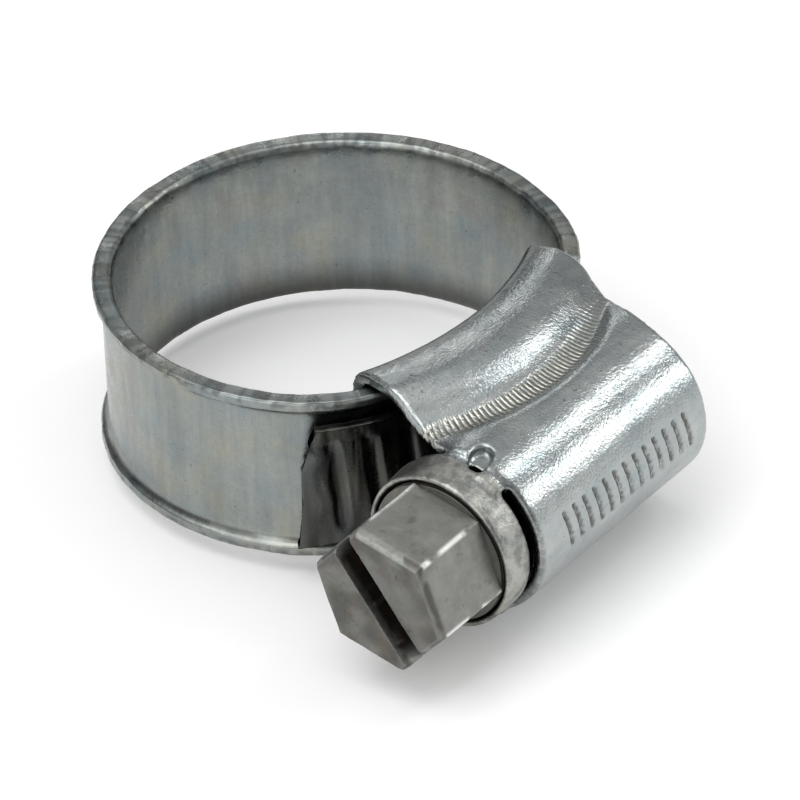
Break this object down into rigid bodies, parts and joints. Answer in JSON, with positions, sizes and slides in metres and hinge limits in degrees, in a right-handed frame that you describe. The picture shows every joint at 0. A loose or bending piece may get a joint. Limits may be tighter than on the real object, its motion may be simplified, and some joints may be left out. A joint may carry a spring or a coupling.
{
  "type": "hose clamp",
  "caption": "Worm-drive hose clamp: a rolled-lip band round a hose, its threaded end drawn through a pressed housing by a hex-head screw.",
  "frame": {"origin": "on the hose axis, at the middle of the band's width", "axes": "+Z along the hose axis; the housing stands at -Y and its screw lies along X with the hexagon head at -X"},
  "size_m": [0.0298, 0.0326, 0.0116],
  "materials": {
    "housing_zinc": "bright zinc plate with a fine sparkling grain",
    "band_zinc": "satin zinc plate with faint blue and yellow tints",
    "screw_steel": "dull zinc-plated steel with scratches and worn edges"
  },
  "bodies": {
    "housing": {"housing": "housing_zinc", "band_anchored_end": "band_zinc"},
    "screw": {"worm_screw": "screw_steel"},
    "link_1": {"band_link_1": "band_zinc"},
    "link_2": {"band_link_2": "band_zinc"},
    "link_3": {"band_link_3": "band_zinc"},
    "link_4": {"band_link_4": "band_zinc"},
    "link_5": {"band_link_5": "band_zinc"},
    "link_6": {"band_link_6": "band_zinc"},
    "link_7": {"band_link_7": "band_zinc"},
    "link_8": {"band_link_8": "band_zinc"},
    "tail": {"band_threaded_tail": "band_zinc"}
  },
  "joints": [
    {"name": "screw_turn", "type": "hinge", "parent": "housing", "child": "screw", "pos_m": [0, -0.01535, 0], "axis": [1, 0, 0], "range_deg": [-1260, 540]},
    {"name": "band_bend_1", "type": "hinge", "parent": "housing", "child": "link_1", "pos_m": [-0.01013, -0.00585, 0], "axis": [0, 0, -1], "range_deg": [-2.95, 1.3]},
    {"name": "band_bend_2", "type": "hinge", "parent": "link_1", "child": "link_2", "pos_m": [-0.01175, 0, 0], "axis": [0, 0, -1], "range_deg": [-2.95, 1.3]},
    {"name": "band_bend_3", "type": "hinge", "parent": "link_2", "child": "link_3", "pos_m": [-0.01018, 0.00588, 0], "axis": [0, 0, -1], "range_deg": [-2.95, 1.3]},
    {"name": "band_bend_4", "type": "hinge", "parent": "link_3", "child": "link_4", "pos_m": [-0.00588, 0.01018, 0], "axis": [0, 0, -1], "range_deg": [-2.95, 1.3]},
    {"name": "band_bend_5", "type": "hinge", "parent": "link_4", "child": "link_5", "pos_m": [0, 0.01175, 0], "axis": [0, 0, -1], "range_deg": [-2.95, 1.3]},
    {"name": "band_bend_6", "type": "hinge", "parent": "link_5", "child": "link_6", "pos_m": [0.00588, 0.01018, 0], "axis": [0, 0, -1], "range_deg": [-2.95, 1.3]},
    {"name": "band_bend_7", "type": "hinge", "parent": "link_6", "child": "link_7", "pos_m": [0.01018, 0.00588, 0], "axis": [0, 0, -1], "range_deg": [-2.95, 1.3]},
    {"name": "band_bend_8", "type": "hinge", "parent": "link_7", "child": "link_8", "pos_m": [0.01175, 0, 0], "axis": [0, 0, -1], "range_deg": [-2.95, 1.3]},
    {"name": "band_bend_9", "type": "hinge", "parent": "link_8", "child": "tail", "pos_m": [0.01022, -0.0059, 0], "axis": [0, 0, -1], "range_deg": [-2.95, 1.3]}
  ],
  "couplings": [
    {"joint": "band_bend_1", "follows": "screw_turn", "ratio": 0.0023041},
    {"joint": "band_bend_2", "follows": "screw_turn", "ratio": 0.0023041},
    {"joint": "band_bend_3", "follows": "screw_turn", "ratio": 0.0023041},
    {"joint": "band_bend_4", "follows": "screw_turn", "ratio": 0.0023041},
    {"joint": "band_bend_5", "follows": "screw_turn", "ratio": 0.0023041},
    {"joint": "band_bend_6", "follows": "screw_turn", "ratio": 0.0023041},
    {"joint": "band_bend_7", "follows": "screw_turn", "ratio": 0.0023041},
    {"joint": "band_bend_8", "follows": "screw_turn", "ratio": 0.0023041},
    {"joint": "band_bend_9", "follows": "screw_turn", "ratio": 0.0023041}
  ]
}
